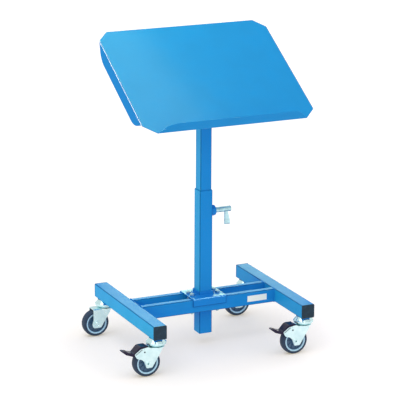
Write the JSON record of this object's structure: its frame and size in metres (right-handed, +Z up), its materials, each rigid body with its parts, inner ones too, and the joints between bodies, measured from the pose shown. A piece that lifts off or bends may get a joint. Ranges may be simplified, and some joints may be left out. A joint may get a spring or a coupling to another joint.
{
  "type": "material support stand",
  "caption": "Tilting sheet-metal tray with a folded lip on a telescopic square post, on an H-shaped base with swivel casters, some with brake pedals.",
  "frame": {"origin": "on the floor, under the middle of the whole stand's box", "axes": "+Z up, +X along the tray's long side to the right as seen from the front, +Y from front to back"},
  "size_m": [0.6004, 0.434, 0.9054],
  "materials": {
    "blue_paint": "semi-gloss powder coat",
    "zinc_plate": "bright zinc plate",
    "brass": "turned",
    "black_plastic": "moulded",
    "grey_rubber": "matt thermoplastic rubber",
    "grey_nylon": "moulded"
  },
  "bodies": {
    "base": {"left_leg_tube": "blue_paint", "right_leg_tube": "blue_paint", "front_crossbeam": "blue_paint", "rear_crossbeam": "blue_paint", "front_left_end_plug": "black_plastic", "front_right_end_plug": "black_plastic", "rear_left_end_plug": "black_plastic", "rear_right_end_plug": "black_plastic", "post_saddle": "blue_paint", "saddle_lower_plate": "blue_paint", "post_socket_sleeve": "blue_paint", "saddle_bolt_front_left": "zinc_plate", "saddle_bolt_front_right": "zinc_plate", "saddle_bolt_rear_left": "zinc_plate", "saddle_bolt_rear_right": "zinc_plate", "saddle_nut_front_left": "zinc_plate", "saddle_nut_front_right": "zinc_plate", "saddle_nut_rear_left": "zinc_plate", "saddle_nut_rear_right": "zinc_plate", "outer_post_tube": "blue_paint", "clamp_weld_nut": "blue_paint", "front_left_swivel_head": "zinc_plate", "front_right_swivel_head": "zinc_plate", "rear_left_swivel_head": "zinc_plate", "rear_right_swivel_head": "zinc_plate", "front_left_king_bolt": "zinc_plate", "front_right_king_bolt": "zinc_plate", "rear_left_king_bolt": "zinc_plate", "rear_right_king_bolt": "zinc_plate"},
    "mast": {"inner_post_tube": "blue_paint", "pivot_bolt": "zinc_plate", "pivot_nut": "zinc_plate", "tilt_lock_bolt": "zinc_plate"},
    "tray": {"tray_panel": "blue_paint", "tilt_bracket": "blue_paint"},
    "tilt_lock": {"tilt_lock_lever": "zinc_plate"},
    "clamp_pad": {"clamp_pad": "brass"},
    "clamp_screw": {"clamp_stud": "zinc_plate", "clamp_lever": "zinc_plate"},
    "front_left_caster": {"front_left_fork": "zinc_plate", "front_left_axle": "zinc_plate", "front_left_pedal_pin": "zinc_plate"},
    "front_right_caster": {"front_right_fork": "zinc_plate", "front_right_axle": "zinc_plate", "front_right_pedal_pin": "zinc_plate"},
    "rear_left_caster": {"rear_left_fork": "zinc_plate", "rear_left_axle": "zinc_plate"},
    "rear_right_caster": {"rear_right_fork": "zinc_plate", "rear_right_axle": "zinc_plate"},
    "front_left_wheel": {"front_left_wheel_core": "grey_nylon", "front_left_tyre": "grey_rubber"},
    "front_right_wheel": {"front_right_wheel_core": "grey_nylon", "front_right_tyre": "grey_rubber"},
    "rear_left_wheel": {"rear_left_wheel_core": "grey_nylon", "rear_left_tyre": "grey_rubber"},
    "rear_right_wheel": {"rear_right_wheel_core": "grey_nylon", "rear_right_tyre": "grey_rubber"},
    "front_left_brake": {"front_left_brake_pedal": "black_plastic"},
    "front_right_brake": {"front_right_brake_pedal": "black_plastic"}
  },
  "joints": [
    {"name": "height_slide", "type": "slide", "parent": "base", "child": "mast", "axis": [0, 0, 1], "range_m": [-0.205, 0.12]},
    {"name": "tray_tilt", "type": "hinge", "parent": "mast", "child": "tray", "pos_m": [0.03725, 0, 0.773], "axis": [1, 0, 0], "range_deg": [-31, 19]},
    {"name": "tilt_lock_turn", "type": "hinge", "parent": "mast", "child": "tilt_lock", "pos_m": [0.05955, 0, 0.728], "axis": [1, 0, 0], "range_deg": [0, 110]},
    {"name": "clamp_pad_slide", "type": "slide", "parent": "base", "child": "clamp_pad", "axis": [1, 0, 0], "range_m": [0, 0.0015]},
    {"name": "clamp_lever_turn", "type": "hinge", "parent": "clamp_pad", "child": "clamp_screw", "pos_m": [0.03725, 0, 0.396], "axis": [1, 0, 0], "range_deg": [0, 360]},
    {"name": "front_left_swivel", "type": "hinge", "parent": "base", "child": "front_left_caster", "pos_m": [-0.19275, -0.187, 0.085], "axis": [0, 0, 1], "continuous": true},
    {"name": "front_right_swivel", "type": "hinge", "parent": "base", "child": "front_right_caster", "pos_m": [0.26725, -0.187, 0.085], "axis": [0, 0, 1], "continuous": true},
    {"name": "rear_left_swivel", "type": "hinge", "parent": "base", "child": "rear_left_caster", "pos_m": [-0.19275, 0.187, 0.085], "axis": [0, 0, 1], "continuous": true},
    {"name": "rear_right_swivel", "type": "hinge", "parent": "base", "child": "rear_right_caster", "pos_m": [0.26725, 0.187, 0.085], "axis": [0, 0, 1], "continuous": true},
    {"name": "front_left_roll", "type": "hinge", "parent": "front_left_caster", "child": "front_left_wheel", "pos_m": [-0.22375, -0.187, 0.03985], "axis": [0, 1, 0], "continuous": true},
    {"name": "front_right_roll", "type": "hinge", "parent": "front_right_caster", "child": "front_right_wheel", "pos_m": [0.23625, -0.187, 0.03985], "axis": [0, 1, 0], "continuous": true},
    {"name": "rear_left_roll", "type": "hinge", "parent": "rear_left_caster", "child": "rear_left_wheel", "pos_m": [-0.22375, 0.187, 0.03985], "axis": [0, 1, 0], "continuous": true},
    {"name": "rear_right_roll", "type": "hinge", "parent": "rear_right_caster", "child": "rear_right_wheel", "pos_m": [0.23625, 0.187, 0.03985], "axis": [0, 1, 0], "continuous": true},
    {"name": "front_left_brake_press", "type": "hinge", "parent": "front_left_caster", "child": "front_left_brake", "pos_m": [-0.23675, -0.187, 0.08385], "axis": [0, -1, 0], "range_deg": [0, 15]},
    {"name": "front_right_brake_press", "type": "hinge", "parent": "front_right_caster", "child": "front_right_brake", "pos_m": [0.22325, -0.187, 0.08385], "axis": [0, -1, 0], "range_deg": [0, 15]}
  ],
  "couplings": [
    {"joint": "clamp_pad_slide", "follows": "clamp_lever_turn", "m_per_rad": 0.00023873}
  ]
}
